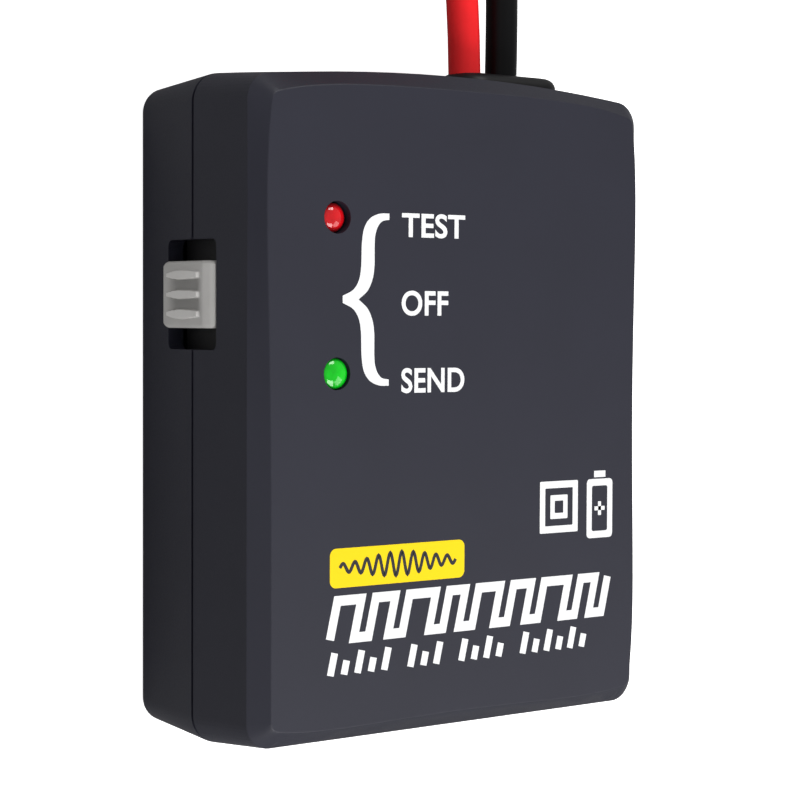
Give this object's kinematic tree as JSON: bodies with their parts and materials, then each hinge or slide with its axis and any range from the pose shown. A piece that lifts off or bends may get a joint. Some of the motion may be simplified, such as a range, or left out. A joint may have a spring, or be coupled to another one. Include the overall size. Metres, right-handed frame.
{
  "type": "wire fault finder signal sender",
  "caption": "Flat hand-sized signal sender in a two-part case, with side slide switch, two lamps, battery cover at the back and two test leads ending in spring clips.",
  "frame": {"origin": "on the surface under the middle of the case's back face", "axes": "+Z out of the front face, +Y to the end where the leads leave, switch on the -X side"},
  "size_m": [0.0706, 0.2224, 0.0244],
  "materials": {
    "case_plastic": "matte",
    "knob_plastic": "satin",
    "shield_black": "matte",
    "red_lens": "gloss",
    "green_lens": "gloss",
    "steel": "satin",
    "tinned_wire": "satin",
    "board_laminate": "satin",
    "chip_black": "matte",
    "capacitor_sleeve": "satin",
    "resistor_body": "satin",
    "switch_laminate": "matte",
    "battery_jacket": "satin",
    "foam": "matte",
    "black_rubber": "satin",
    "tie_nylon": "satin",
    "red_sleeve": "satin",
    "black_sleeve": "satin",
    "clip_steel": "satin",
    "print_white": "satin",
    "badge_yellow": "satin"
  },
  "bodies": {
    "case": {"rear_cover": "case_plastic", "front_cover": "case_plastic", "case_screws": "steel", "battery": "battery_jacket", "battery_terminals": "tinned_wire", "battery_snap": "chip_black", "battery_pad": "foam", "circuit_board": "board_laminate", "board_screws": "steel", "red_lamp": "red_lens", "green_lamp": "green_lens", "lamp_legs": "tinned_wire", "tone_chip": "chip_black", "chip_pins": "tinned_wire", "capacitor": "capacitor_sleeve", "transistor": "chip_black", "resistors": "resistor_body", "component_legs": "tinned_wire", "switch_frame": "steel", "switch_base": "switch_laminate", "switch_terminals": "tinned_wire", "lead_gland": "black_rubber", "lead_tie": "tie_nylon", "red_inner_wire": "red_sleeve", "black_inner_wire": "black_sleeve", "snap_red_wire": "red_sleeve", "snap_black_wire": "black_sleeve", "red_lead": "red_sleeve", "red_coil": "red_sleeve", "red_tail": "red_sleeve", "red_clip_lower_jaw": "clip_steel", "red_clip_pin": "steel", "red_clip_spring": "steel", "red_clip_lower_grip": "red_sleeve", "black_lead": "black_sleeve", "black_coil": "black_sleeve", "black_tail": "black_sleeve", "black_clip_lower_jaw": "clip_steel", "black_clip_pin": "steel", "black_clip_spring": "steel", "black_clip_lower_grip": "black_sleeve"},
    "switch": {"switch_knob": "knob_plastic", "slot_shield": "shield_black", "switch_slider": "shield_black"},
    "battery_door": {"battery_cover": "case_plastic"},
    "red_jaw": {"red_clip_upper_jaw": "clip_steel", "red_clip_spring_arm": "steel", "red_clip_upper_grip": "red_sleeve"},
    "black_jaw": {"black_clip_upper_jaw": "clip_steel", "black_clip_spring_arm": "steel", "black_clip_upper_grip": "black_sleeve"}
  },
  "joints": [
    {"name": "switch_slide", "type": "slide", "parent": "case", "child": "switch", "axis": [0, 1, 0], "range_m": [-0.0022, 0.0022]},
    {"name": "battery_cover_slide", "type": "slide", "parent": "case", "child": "battery_door", "axis": [0, -1, 0], "range_m": [0, 0.054]},
    {"name": "red_clip_jaw", "type": "hinge", "parent": "case", "child": "red_jaw", "pos_m": [-0.0095, 0.1595, 0.0087], "axis": [1, 0, 0], "range_deg": [0, 22], "stiffness_Nm_per_rad": 0.05, "springref_deg": -28.65},
    {"name": "black_clip_jaw", "type": "hinge", "parent": "case", "child": "black_jaw", "pos_m": [0.0345, 0.1595, 0.0087], "axis": [1, 0, 0], "range_deg": [0, 22], "stiffness_Nm_per_rad": 0.05, "springref_deg": -28.65}
  ]
}
